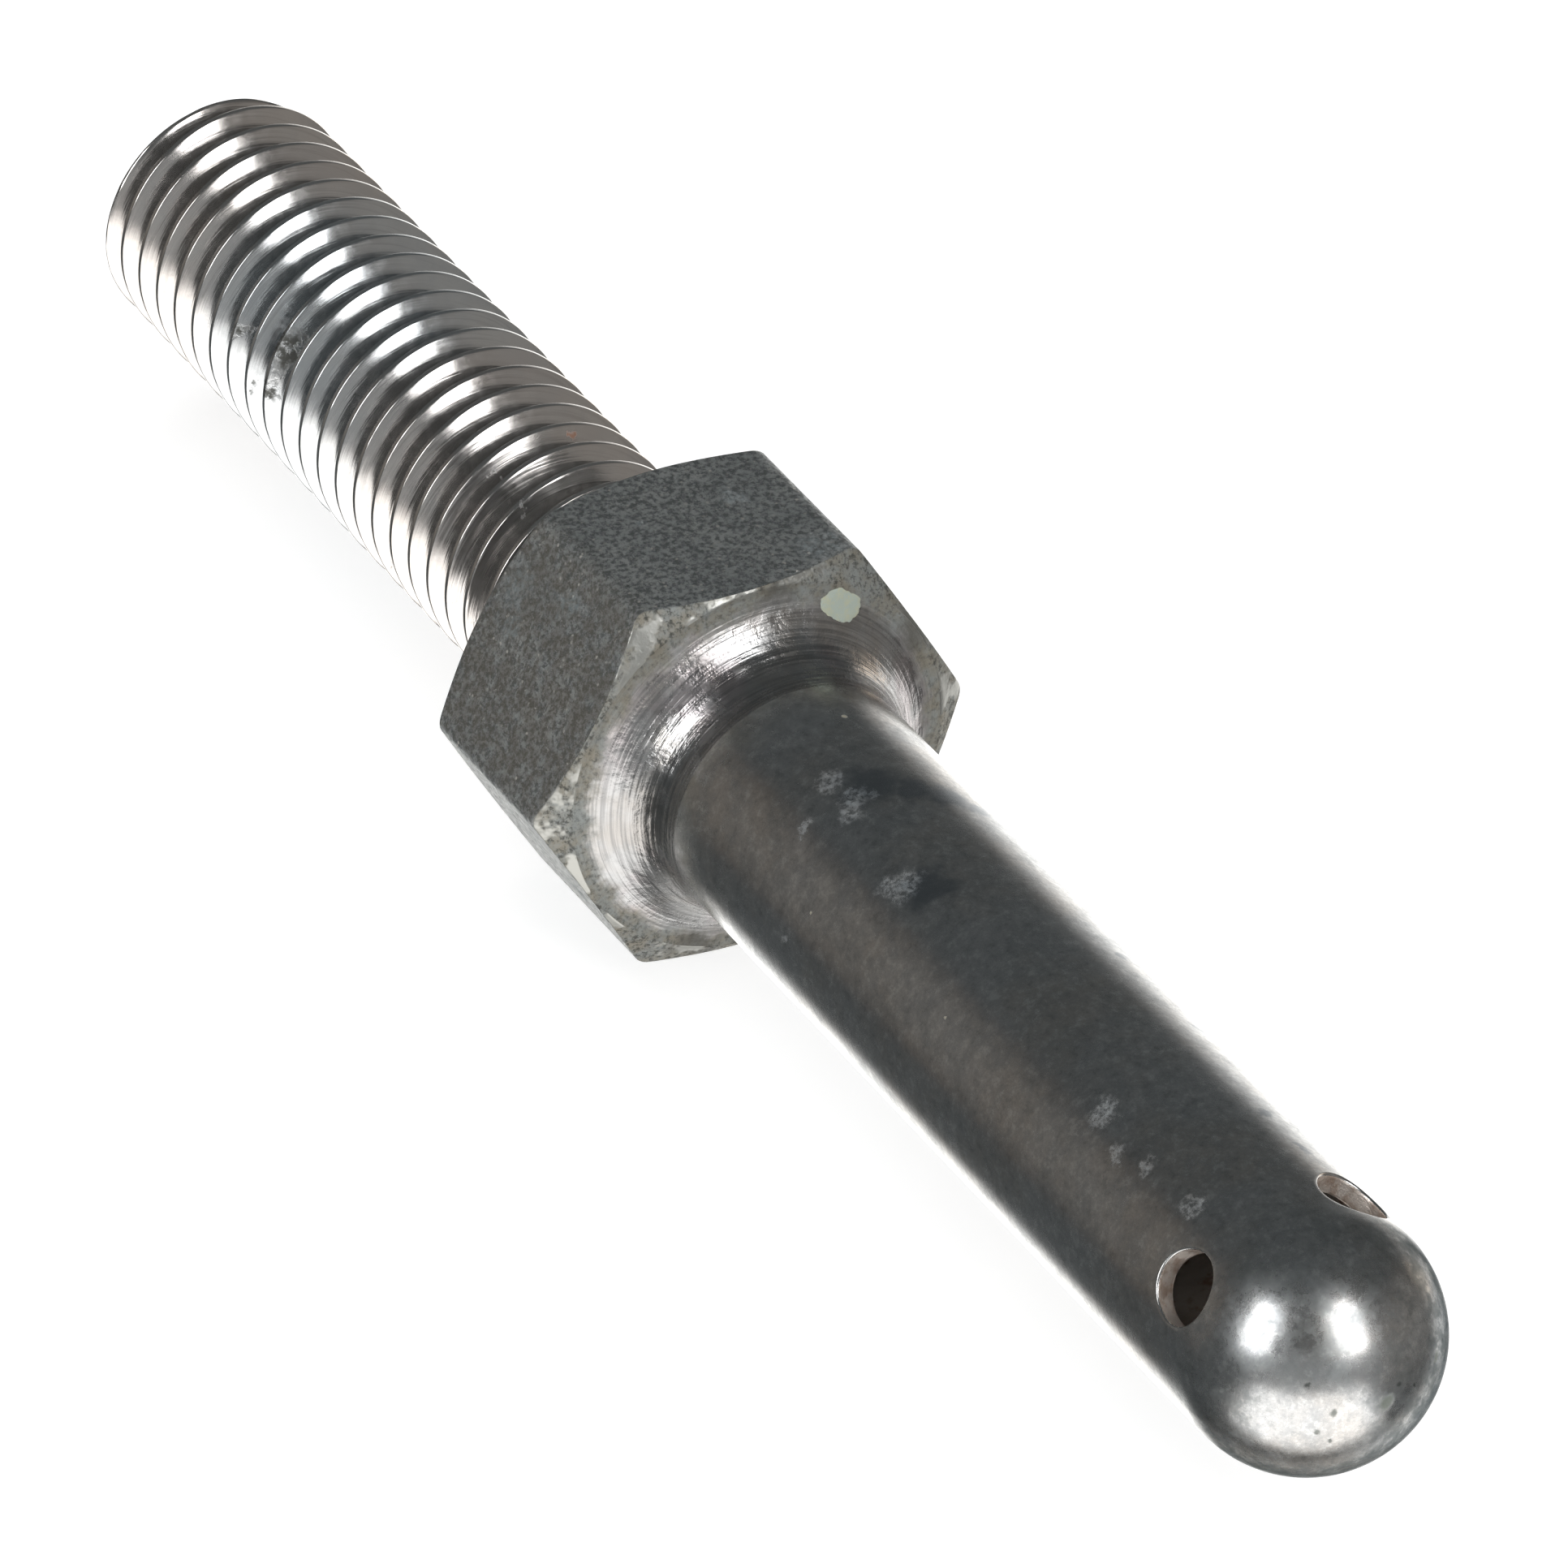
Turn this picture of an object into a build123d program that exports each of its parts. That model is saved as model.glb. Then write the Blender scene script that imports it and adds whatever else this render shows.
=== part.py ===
"""Hollow ball-nosed pin with a hexagonal collar and a screwed-in threaded stud.

The pin lies along X.  X = 0 is the seat face of the hexagon, the stud points to
-X and the ball nose to +X.  One flat of the hexagon faces straight up, +Z.
"""
import os
from math import cos, pi, radians, sin, tan

from build123d import *

# Thread of the stud, ISO metric coarse
thread_diameter = 12.0
thread_pitch = 1.75
thread_allowance = 0.08
stud_length = 50.0
stud_projection = 41.3
stud_end_chamfer = 0.7
thread_start_turn = 154.3
feed_bore_diameter = 4.0

# Hexagonal collar
hex_across_flats = 18.75
hex_height = 10.4
hex_corner_radius = 0.8
hex_face_diameter = 18.5
hex_chamfer_angle = 30.0

# Shank and ball nose
shank_diameter = 12.0
neck_fillet = 3.4
neck_start_angle = 10.0
neck_rim_land = 0.05
ball_centre_x = 58.1

# Inside of the body
cavity_diameter = 10.2
cavity_full_end_x = 58.5
drill_point_angle = 118.0
tapped_clearance = 0.05

# Radial ports, four in one ring, turned a few degrees off the flats of the hexagon
port_diameter = 3.3
port_count = 4
port_ring_x = 56.45
port_first_angle = 57.5

# Worked out from the sizes above
shank_radius = shank_diameter / 2
cavity_radius = cavity_diameter / 2
crest_radius = (thread_diameter - thread_allowance) / 2
tapped_radius = thread_diameter / 2 + tapped_clearance
stud_inner_end_x = stud_length - stud_projection
neck_end_x = hex_height + neck_fillet
neck_foot_radius = shank_radius + neck_fillet
ball_tip_x = ball_centre_x + shank_radius
drill_point_length = cavity_radius / tan(radians(drill_point_angle / 2))

# Groove of the thread: 60 degree flanks, crest flat an eighth of the pitch wide
flank_slope = tan(radians(30))
groove_depth = 0.6134 * thread_pitch
groove_width_at_crest = thread_pitch * 7 / 8
groove_width_at_root = groove_width_at_crest - 2 * groove_depth * flank_slope
groove_overcut = 0.15
groove_width_outside = groove_width_at_crest + 2 * groove_overcut * flank_slope

# The groove starts a pitch before the stud and ends a pitch after it
groove_cuts = 10
groove_start_x = -stud_projection - thread_pitch
groove_cut_length = (stud_length + 2 * thread_pitch) / groove_cuts
groove_cut_overlap = 0.02


def circle_point(centre_x, centre_r, radius, angle):
    """Point on an arc of the lathe profile, angle in degrees from +X towards +r."""
    x = centre_x + radius * cos(radians(angle))
    r = centre_r + radius * sin(radians(angle))
    return (x, r)


os.makedirs("parts", exist_ok=True)

# The neck's arc starts just inside the rim of the hexagon's front face
neck_rim_radius = hex_face_diameter / 2 - neck_rim_land
neck_start = circle_point(neck_end_x, neck_foot_radius, neck_fillet, 180 + neck_start_angle)
neck_middle = circle_point(neck_end_x, neck_foot_radius, neck_fillet, 225)

# ---------------------------------------------------------------- pin body
corner_radius = (hex_across_flats / 2 - hex_corner_radius) / cos(pi / 6) + hex_corner_radius
chamfer_run = (corner_radius - hex_face_diameter / 2) * tan(radians(hex_chamfer_angle))

with BuildPart() as pin_body:
    # hexagon bar, rounded along its six corners
    with BuildSketch(Plane.YZ):
        RegularPolygon(hex_across_flats / 2, 6, major_radius=False)
    extrude(amount=hex_height)
    fillet(pin_body.edges().filter_by(Axis.X), hex_corner_radius)

    # turned chamfers on both ends of the hexagon
    with BuildSketch(Plane.XY) as chamfer_profile:
        with BuildLine():
            Polyline(
                (0, 0),
                (0, hex_face_diameter / 2),
                (chamfer_run, corner_radius),
                (hex_height - chamfer_run, corner_radius),
                (hex_height, hex_face_diameter / 2),
                (hex_height, 0),
                close=True,
            )
        make_face()
    revolve(axis=Axis.X, mode=Mode.INTERSECT)

    # concave neck, straight shank and hemispherical nose
    with BuildSketch(Plane.XY) as shank_profile:
        with BuildLine():
            Polyline(
                (hex_height / 2, 0),
                (hex_height / 2, neck_rim_radius),
                (hex_height, neck_rim_radius),
                neck_start,
            )
            ThreePointArc(neck_start, neck_middle, (neck_end_x, shank_radius))
            Line((neck_end_x, shank_radius), (ball_centre_x, shank_radius))
            ThreePointArc(
                (ball_centre_x, shank_radius),
                circle_point(ball_centre_x, 0, shank_radius, 45),
                (ball_tip_x, 0),
            )
            Line((ball_tip_x, 0), (hex_height / 2, 0))
        make_face()
    revolve(axis=Axis.X)

    # tapped seat for the stud, then the drilled cavity with its drill point
    with BuildSketch(Plane.XY) as inside_profile:
        with BuildLine():
            Polyline(
                (0, 0),
                (0, tapped_radius),
                (stud_inner_end_x, tapped_radius),
                (stud_inner_end_x, cavity_radius),
                (cavity_full_end_x, cavity_radius),
                (cavity_full_end_x + drill_point_length, 0),
                close=True,
            )
        make_face()
    revolve(axis=Axis.X, mode=Mode.SUBTRACT)

    # ring of radial ports through the thin wall
    for index in range(port_count):
        angle = port_first_angle + index * 360 / port_count
        outward = (0, cos(radians(angle)), sin(radians(angle)))
        port_plane = Plane(origin=(port_ring_x, 0, 0), x_dir=(1, 0, 0), z_dir=outward)
        with BuildSketch(port_plane):
            Circle(port_diameter / 2)
        extrude(amount=shank_diameter, mode=Mode.SUBTRACT)
pin_body.part.label = "pin_body"
export_step(pin_body.part, "parts/pin_body.step")

# ----------------------------------------------------------- threaded stud
with BuildPart() as threaded_stud:
    with BuildSketch(Plane.XY) as stud_profile:
        with BuildLine():
            Polyline(
                (-stud_projection, feed_bore_diameter / 2),
                (-stud_projection, crest_radius - stud_end_chamfer),
                (-stud_projection + stud_end_chamfer, crest_radius),
                (stud_inner_end_x - stud_end_chamfer, crest_radius),
                (stud_inner_end_x, crest_radius - stud_end_chamfer),
                (stud_inner_end_x, feed_bore_diameter / 2),
                close=True,
            )
        make_face()
    revolve(axis=Axis.X)

    # right-hand thread groove, cut in equal lengths that follow on from each other
    for cut in range(groove_cuts):
        cut_start_x = groove_start_x + cut * groove_cut_length
        groove_path = Helix(
            pitch=thread_pitch,
            height=groove_cut_length + groove_cut_overlap,
            radius=crest_radius,
            center=(cut_start_x, 0, 0),
            direction=(1, 0, 0),
        )
        groove_path = groove_path.rotate(Axis.X, 360 * cut * groove_cut_length / thread_pitch)
        path_start = groove_path @ 0
        radial = Vector(0, path_start.Y, path_start.Z).normalized()
        tangential = Vector(1, 0, 0).cross(radial)
        with BuildSketch(Plane(origin=path_start, x_dir=(1, 0, 0), z_dir=tangential)):
            with BuildLine():
                Polyline(
                    (-groove_width_outside / 2, groove_overcut),
                    (groove_width_outside / 2, groove_overcut),
                    (groove_width_at_root / 2, -groove_depth),
                    (-groove_width_at_root / 2, -groove_depth),
                    close=True,
                )
            make_face()
        sweep(path=groove_path, is_frenet=True, mode=Mode.SUBTRACT)

# the stud as it sits when screwed home
seated_stud = threaded_stud.part.rotate(Axis.X, thread_start_turn)
seated_stud.label = "threaded_stud"
export_step(seated_stud, "parts/threaded_stud.step")

print("pin body mm3", round(pin_body.part.volume, 1))
print("threaded stud mm3", round(threaded_stud.part.volume, 1))
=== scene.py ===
"""Looks of the ported ball-nose pin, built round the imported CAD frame.

Lengths in the mesh code are millimetres, turned into metres as each mesh is made.
The pin lies along X with its ball nose towards +X, and rests on a flat of its hexagon.
"""
import math

import bmesh
import bpy
import numpy as np
from mathutils import Matrix, Vector, noise


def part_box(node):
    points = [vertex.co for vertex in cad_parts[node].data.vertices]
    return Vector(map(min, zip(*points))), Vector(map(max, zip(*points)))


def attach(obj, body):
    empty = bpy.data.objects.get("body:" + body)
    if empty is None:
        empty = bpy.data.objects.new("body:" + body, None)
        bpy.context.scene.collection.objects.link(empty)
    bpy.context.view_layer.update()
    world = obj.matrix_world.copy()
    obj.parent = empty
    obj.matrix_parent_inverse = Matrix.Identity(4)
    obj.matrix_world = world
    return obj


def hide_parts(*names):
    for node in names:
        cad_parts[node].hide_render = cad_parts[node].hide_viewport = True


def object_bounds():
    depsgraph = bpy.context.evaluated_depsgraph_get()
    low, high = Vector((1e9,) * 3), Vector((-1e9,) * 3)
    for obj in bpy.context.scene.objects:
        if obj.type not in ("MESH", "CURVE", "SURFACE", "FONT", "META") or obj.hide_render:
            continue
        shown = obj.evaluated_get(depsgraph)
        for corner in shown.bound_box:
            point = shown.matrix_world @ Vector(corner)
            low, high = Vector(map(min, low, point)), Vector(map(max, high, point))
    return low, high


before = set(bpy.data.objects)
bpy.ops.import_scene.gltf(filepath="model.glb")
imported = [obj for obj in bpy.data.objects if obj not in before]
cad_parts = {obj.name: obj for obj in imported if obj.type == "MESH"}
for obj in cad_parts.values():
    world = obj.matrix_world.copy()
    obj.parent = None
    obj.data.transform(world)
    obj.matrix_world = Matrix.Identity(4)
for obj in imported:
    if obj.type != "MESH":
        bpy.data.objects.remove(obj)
cad_low, cad_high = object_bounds()
body_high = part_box("pin_body")[1]
stud_low, stud_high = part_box("threaded_stud")
METRES = 0.001

# ------------------------------------------------------------------ sizes, mm
HEX_LENGTH = 10.4
HEX_CORNER = 0.8
HEX_FACE_RADIUS = 9.25
HALF_FLATS = body_high.z / METRES
CHAMFER_SLOPE = math.tan(math.radians(30))
SHANK = 6.0
BALL_TIP = body_high.x / METRES
BALL_CENTRE = BALL_TIP - SHANK
NECK = 3.4
NECK_END = HEX_LENGTH + NECK
NECK_START_ANGLE = 10.0
CAVITY = 5.1
TAPPED = 6.05
CAVITY_END = 58.5
DRILL_POINT = CAVITY / math.tan(math.radians(59))
PORT = 1.65
PORT_X = 56.45
PORT_FIRST = 57.5
PORT_RIM = 0.10
CREST = 5.96
PITCH = 1.75
THREAD_DEPTH = 0.6134 * PITCH
FEED_BORE = 2.0
STUD_START = stud_low.x / METRES
STUD_END = stud_high.x / METRES
STUD_CHAMFER = 0.7
# Where the middle of one crest stands along X at the +Y side of the stud, as in the CAD thread
THREAD_PHASE = -43.3625

# Small breaks of the hexagon's edges: flat ring left at each face, and the broken side edges
REAR_LAND = 0.03
FRONT_LAND = 0.05
EDGE_RUN = 0.015
EDGE_DROP = 0.012
SIDE_INSET = 0.07
CHAMFER_SHARES = (0.02, 0.2, 0.4, 0.6, 0.8, 0.95)

# ------------------------------------------------------- mesh resolution
COLUMNS = 384
FIRST_COLUMN_ANGLE = PORT_FIRST - 45.0
PORT_COUNT = 4
PORT_HALF_LENGTH = 3.0
PORT_BORDER_STEPS = 40
PORT_PATCH_ROWS = 14
PORT_PATCH_CROWDING = 1.3
PORT_WALL_ROWS = 9
FACE_ROWS = 14
SIDE_ROWS = 46
NECK_ROWS = 48
SHANK_ROWS = 120
NOSE_ROWS = 60
SEAT_ROWS = 8
STEP_ROWS = 4
BORE_ROWS = 40
DRILL_POINT_ROWS = 12
FEED_BORE_SEGMENTS = 96
FLANK_SHARES = (0.03, 0.1, 0.25, 0.4, 0.55, 0.7, 0.85, 0.95)


class Skin:
    """Collects grids of points into one welded mesh with a material number for each face."""

    def __init__(self):
        self.points = []
        self.faces = []
        self.finish = []

    def grid(self, rows, finish, closed=False):
        """Adds quads between rows of points, an array of shape (rows, columns, 3)."""
        rows = np.asarray(rows, float)
        count, width = rows.shape[:2]
        start = len(self.points)
        self.points.extend(map(tuple, rows.reshape(-1, 3)))
        for i in range(count - 1):
            for j in range(width if closed else width - 1):
                k = (j + 1) % width
                a = start + i * width
                b = a + width
                self.faces.append((a + j, a + k, b + k, b + j))
                self.finish.append(finish)

    def build(self, name, weld=2e-6):
        """Welds what meets, turns the normals outward and returns the object, in metres."""
        mesh = bpy.data.meshes.new(name)
        mesh.from_pydata([Vector(p) * METRES for p in self.points], [], self.faces)
        mesh.polygons.foreach_set("material_index", self.finish)
        work = bmesh.new()
        work.from_mesh(mesh)
        bmesh.ops.remove_doubles(work, verts=work.verts, dist=weld)
        bmesh.ops.dissolve_degenerate(work, edges=work.edges, dist=weld / 4)
        bmesh.ops.recalc_face_normals(work, faces=work.faces)
        for face in work.faces:
            face.smooth = True
        work.to_mesh(mesh)
        work.free()
        made = bpy.data.objects.new(name, mesh)
        bpy.context.scene.collection.objects.link(made)
        return made


def ring_angles():
    """Angles of the mesh columns round the axis, in radians, from +Y towards +Z."""
    return np.radians(FIRST_COLUMN_ANGLE + np.arange(COLUMNS) * 360.0 / COLUMNS)


def turned(stations, angles):
    """Rows of points of a turned surface from (x, radius) stations, constant or one per column."""
    rows = []
    for x, radius in stations:
        x = np.broadcast_to(x, angles.shape)
        radius = np.broadcast_to(radius, angles.shape)
        rows.append(np.stack([x, radius * np.cos(angles), radius * np.sin(angles)], -1))
    return np.array(rows)


def hexagon_radius(angles):
    """Distance from the axis to the hexagon's side, with its six corners rounded."""
    from_flat = (np.degrees(angles) - 90.0 + 30.0) % 60.0 - 30.0
    from_flat = np.radians(np.abs(from_flat))
    inner = HALF_FLATS - HEX_CORNER
    corner = inner / math.cos(math.pi / 6)
    flat_end = math.atan(inner * math.tan(math.pi / 6) / HALF_FLATS)
    from_corner = math.pi / 6 - from_flat
    reach = np.maximum(HEX_CORNER**2 - (corner * np.sin(from_corner)) ** 2, 0.0)
    round_part = corner * np.cos(from_corner) + np.sqrt(reach)
    return np.where(from_flat < flat_end, HALF_FLATS / np.cos(from_flat), round_part)


def outer_radius(x):
    """Radius of the shank and of the ball nose that ends it."""
    past = np.maximum(np.asarray(x, float) - BALL_CENTRE, 0.0)
    return np.sqrt(np.maximum(SHANK**2 - past**2, 0.0))


def port_border(low, high):
    """Rectangle round a port on the unrolled surface, as (x from the port, degrees round)."""
    across = np.linspace(-45.0, 45.0, COLUMNS // 4 + 1)
    along = np.linspace(low, high, PORT_BORDER_STEPS + 1)
    border = [(low, a) for a in across[:-1]]
    border += [(u, 45.0) for u in along[:-1]]
    border += [(high, a) for a in across[:0:-1]]
    border += [(u, -45.0) for u in along[:0:-1]]
    return np.array(border)


def port_turns():
    """Angles round a port's own axis at which its edge has a point."""
    border = port_border(-PORT_HALF_LENGTH, PORT_HALF_LENGTH)
    return np.arctan2(np.radians(border[:, 1]) * SHANK, border[:, 0])


def port_patch(centre_angle, border, radius_of, rings):
    """Points from the border round a port in to its edge, on a turned surface."""
    turns = port_turns()
    edges = []
    for radius, sink in rings:
        u = radius * np.cos(turns)
        surface = radius_of(PORT_X + u) - sink
        edges.append((u, np.degrees(np.arcsin(radius * np.sin(turns) / surface)), surface))
    u0, a0, _ = edges[0]
    rows = []
    for share in np.linspace(1.0, 0.0, PORT_PATCH_ROWS)[:-1] ** PORT_PATCH_CROWDING:
        u = u0 + (border[:, 0] - u0) * share
        rows.append((u, a0 + (border[:, 1] - a0) * share, radius_of(PORT_X + u)))
    out = []
    for u, degrees, radius in rows + edges:
        angle = np.radians(degrees + centre_angle)
        out.append(np.stack([PORT_X + u, radius * np.cos(angle), radius * np.sin(angle)], -1))
    return np.array(out)


def drilled_wall(centre_angle):
    """Wall of one port, from its rim outside to its edge in the cavity."""
    turns = port_turns()
    u = PORT * np.cos(turns)
    t = PORT * np.sin(turns)
    top = np.sqrt((outer_radius(PORT_X + u) - PORT_RIM) ** 2 - t**2)
    bottom = np.sqrt(CAVITY**2 - t**2)
    c, s = math.cos(math.radians(centre_angle)), math.sin(math.radians(centre_angle))
    rows = []
    for share in np.linspace(0.0, 1.0, PORT_WALL_ROWS):
        height = top + (bottom - top) * share
        rows.append(np.stack([PORT_X + u, height * c - t * s, height * s + t * c], -1))
    return np.array(rows)


HEX_SKIN, CHAMFER, NECK_METAL, SHANK_METAL, DRILLED, INSIDE, REAR = range(7)


def make_body():
    """The one-piece body: hexagon, neck, hollow shank with four ports, and ball nose."""
    skin = Skin()
    angles = ring_angles()
    side = hexagon_radius(angles)
    rise = np.maximum(side - HEX_FACE_RADIUS, 0.0) * CHAMFER_SLOPE

    # rear face, rear chamfer, sides and front chamfer of the hexagon
    face = [(0.0, r) for r in np.linspace(TAPPED, HEX_FACE_RADIUS - REAR_LAND, FACE_ROWS)]
    skin.grid(turned(face, angles), REAR, closed=True)
    rear = [(0.0, HEX_FACE_RADIUS - REAR_LAND)]
    front = [(HEX_LENGTH, HEX_FACE_RADIUS - FRONT_LAND)]
    for share in CHAMFER_SHARES:
        radius = HEX_FACE_RADIUS + (side - HEX_FACE_RADIUS) * share
        rear.append((rise * share, radius))
        front.append((HEX_LENGTH - rise * share, radius))
    rear.append((rise + EDGE_RUN, side - EDGE_DROP))
    front.append((HEX_LENGTH - rise - EDGE_RUN, side - EDGE_DROP))
    skin.grid(turned(rear, angles), REAR, closed=True)
    sides = [rear[-1]]
    start = rise + SIDE_INSET
    for share in np.linspace(0.0, 1.0, SIDE_ROWS):
        sides.append((start + (HEX_LENGTH - 2 * start) * share, side))
    sides.append(front[-1])
    skin.grid(turned(sides, angles), HEX_SKIN, closed=True)
    skin.grid(turned(front, angles), CHAMFER, closed=True)

    # concave neck
    neck = [(HEX_LENGTH, HEX_FACE_RADIUS - FRONT_LAND)]
    for turn in np.linspace(180 + NECK_START_ANGLE, 270, NECK_ROWS):
        x = NECK_END + NECK * math.cos(math.radians(turn))
        radius = SHANK + NECK + NECK * math.sin(math.radians(turn))
        neck.append((x, radius))
    skin.grid(turned(neck, angles), NECK_METAL, closed=True)

    # straight shank up to the ring of ports, and the nose beyond it
    ring_start, ring_end = PORT_X - PORT_HALF_LENGTH, PORT_X + PORT_HALF_LENGTH
    shank = [(x, SHANK) for x in np.linspace(NECK_END, ring_start, SHANK_ROWS)]
    skin.grid(turned(shank, angles), SHANK_METAL, closed=True)
    first = math.asin((ring_end - BALL_CENTRE) / SHANK)
    nose = []
    for turn in np.linspace(first, math.pi / 2, NOSE_ROWS):
        nose.append((BALL_CENTRE + SHANK * math.sin(turn), SHANK * math.cos(turn)))
    skin.grid(turned(nose, angles), SHANK_METAL, closed=True)

    # inside: tapped seat, step, cavity and drill point
    bore = [(x, TAPPED) for x in np.linspace(0.0, STUD_END, SEAT_ROWS)]
    bore += [(STUD_END, r) for r in np.linspace(TAPPED, CAVITY, STEP_ROWS)[1:]]
    bore += [(x, CAVITY) for x in np.linspace(STUD_END, ring_start, BORE_ROWS)[1:]]
    skin.grid(turned(bore, angles), INSIDE, closed=True)
    shares = np.linspace(0, 1, DRILL_POINT_ROWS)
    cone = [(CAVITY_END + DRILL_POINT * share, CAVITY * (1 - share)) for share in shares]
    skin.grid(turned(cone, angles), INSIDE, closed=True)

    # ports: outer skin with a broken rim, drilled wall, inner skin
    rim = [(PORT + PORT_RIM, 0.0), (PORT + PORT_RIM * 0.3, PORT_RIM * 0.3), (PORT, PORT_RIM)]
    outer_border = port_border(-PORT_HALF_LENGTH, PORT_HALF_LENGTH)
    inner_border = port_border(-PORT_HALF_LENGTH, CAVITY_END - PORT_X)
    for index in range(PORT_COUNT):
        centre = PORT_FIRST + 360.0 / PORT_COUNT * index
        skin.grid(port_patch(centre, outer_border, outer_radius, rim), SHANK_METAL, closed=True)
        inner = port_patch(centre, inner_border, cavity_radius, [(PORT, 0.0)])
        skin.grid(inner, INSIDE, closed=True)
        skin.grid(drilled_wall(centre), DRILLED, closed=True)
    return skin.build("body_surface")


def cavity_radius(x):
    """Radius of the cavity, the same all along the ring of ports."""
    return np.full(np.shape(x), CAVITY)


def thread_profile():
    """Stations of one pitch of the thread, as (x from the crest's middle, radius)."""
    crest_half = PITCH / 16
    root_half = crest_half + THREAD_DEPTH * CHAMFER_SLOPE
    flank = []
    for share in FLANK_SHARES:
        flank.append((crest_half + (root_half - crest_half) * share, CREST - THREAD_DEPTH * share))
    rising = [(0.0, CREST), (crest_half * 0.7, CREST), (crest_half * 0.98, CREST - 0.008)]
    rising += flank + [(root_half + 0.03, CREST - THREAD_DEPTH), (PITCH / 2, CREST - THREAD_DEPTH)]
    falling = [(PITCH - x, radius) for x, radius in rising[1:-1][::-1]]
    return rising + falling


def close_end(work, x, sign):
    """Cuts the thread square at x and closes it with a flat ring down to the feed bore."""
    geometry = work.verts[:] + work.edges[:] + work.faces[:]
    point = Vector((x * METRES, 0, 0))
    cut = bmesh.ops.bisect_plane(
        work, geom=geometry, dist=1e-7, plane_co=point, plane_no=(sign, 0, 0), clear_outer=True
    )
    outer = [e for e in cut["geom_cut"] if isinstance(e, bmesh.types.BMEdge)]
    turn = Matrix.Translation(point) @ Matrix.Rotation(math.pi / 2, 4, "Y")
    inner = bmesh.ops.create_circle(
        work, segments=FEED_BORE_SEGMENTS, radius=FEED_BORE * METRES, matrix=turn, cap_ends=False
    )["verts"]
    inner_edges = list({e for v in inner for e in v.link_edges})
    bmesh.ops.bridge_loops(work, edges=outer + inner_edges)
    return inner_edges


def make_stud():
    """The threaded stud: one continuous right-hand helix, cut square and chamfered at its ends."""
    profile = thread_profile()
    angles = np.linspace(0.0, 2 * math.pi, COLUMNS + 1)
    first = THREAD_PHASE - 3 * PITCH
    rows = []
    for turn in range(int((STUD_END - STUD_START) / PITCH) + 6):
        for offset, radius in profile:
            x = first + turn * PITCH + offset + PITCH * angles / (2 * math.pi)
            cone = CREST - STUD_CHAMFER
            clipped = np.minimum(radius, cone + np.maximum(x - STUD_START, 0.0))
            clipped = np.minimum(clipped, cone + np.maximum(STUD_END - x, 0.0))
            rows.append(np.stack([x, clipped * np.cos(angles), clipped * np.sin(angles)], -1))
    skin = Skin()
    skin.grid(rows, 0)
    stud = skin.build("stud_surface", weld=1e-6)
    work = bmesh.new()
    work.from_mesh(stud.data)
    bore = close_end(work, STUD_START, -1) + close_end(work, STUD_END, 1)
    bmesh.ops.bridge_loops(work, edges=bore)
    bmesh.ops.recalc_face_normals(work, faces=work.faces)
    for face in work.faces:
        face.smooth = abs(face.normal.x) < 0.999
    work.to_mesh(stud.data)
    work.free()
    return stud


# ------------------------------------------------------------------ materials
class Maths:
    """Short calls for the maths nodes of one node tree."""

    def __init__(self, tree):
        self.tree = tree

    def put(self, socket, value):
        """Links a socket, or sets a constant."""
        if isinstance(value, bpy.types.NodeSocket):
            self.tree.links.new(value, socket)
        else:
            socket.default_value = value

    def math(self, operation, a, b=0.0, clamp=False):
        node = self.tree.nodes.new("ShaderNodeMath")
        node.operation = operation
        node.use_clamp = clamp
        self.put(node.inputs[0], a)
        self.put(node.inputs[1], b)
        return node.outputs[0]

    def vector(self, operation, a, b=(0.0, 0.0, 0.0), scale=1.0):
        node = self.tree.nodes.new("ShaderNodeVectorMath")
        node.operation = operation
        self.put(node.inputs[0], a)
        self.put(node.inputs[1], b)
        if operation == "SCALE":
            self.put(node.inputs["Scale"], scale)
        number = operation in ("DISTANCE", "DOT_PRODUCT")
        return node.outputs["Value" if number else "Vector"]

    def ramp(self, value, low, high, start=0.0, end=1.0):
        """Smooth step of value between low and high, from start to end."""
        node = self.tree.nodes.new("ShaderNodeMapRange")
        node.interpolation_type = "SMOOTHSTEP"
        self.put(node.inputs["Value"], value)
        limits = {"From Min": low, "From Max": high, "To Min": start, "To Max": end}
        for name, number in limits.items():
            node.inputs[name].default_value = number
        return node.outputs["Result"]


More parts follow.
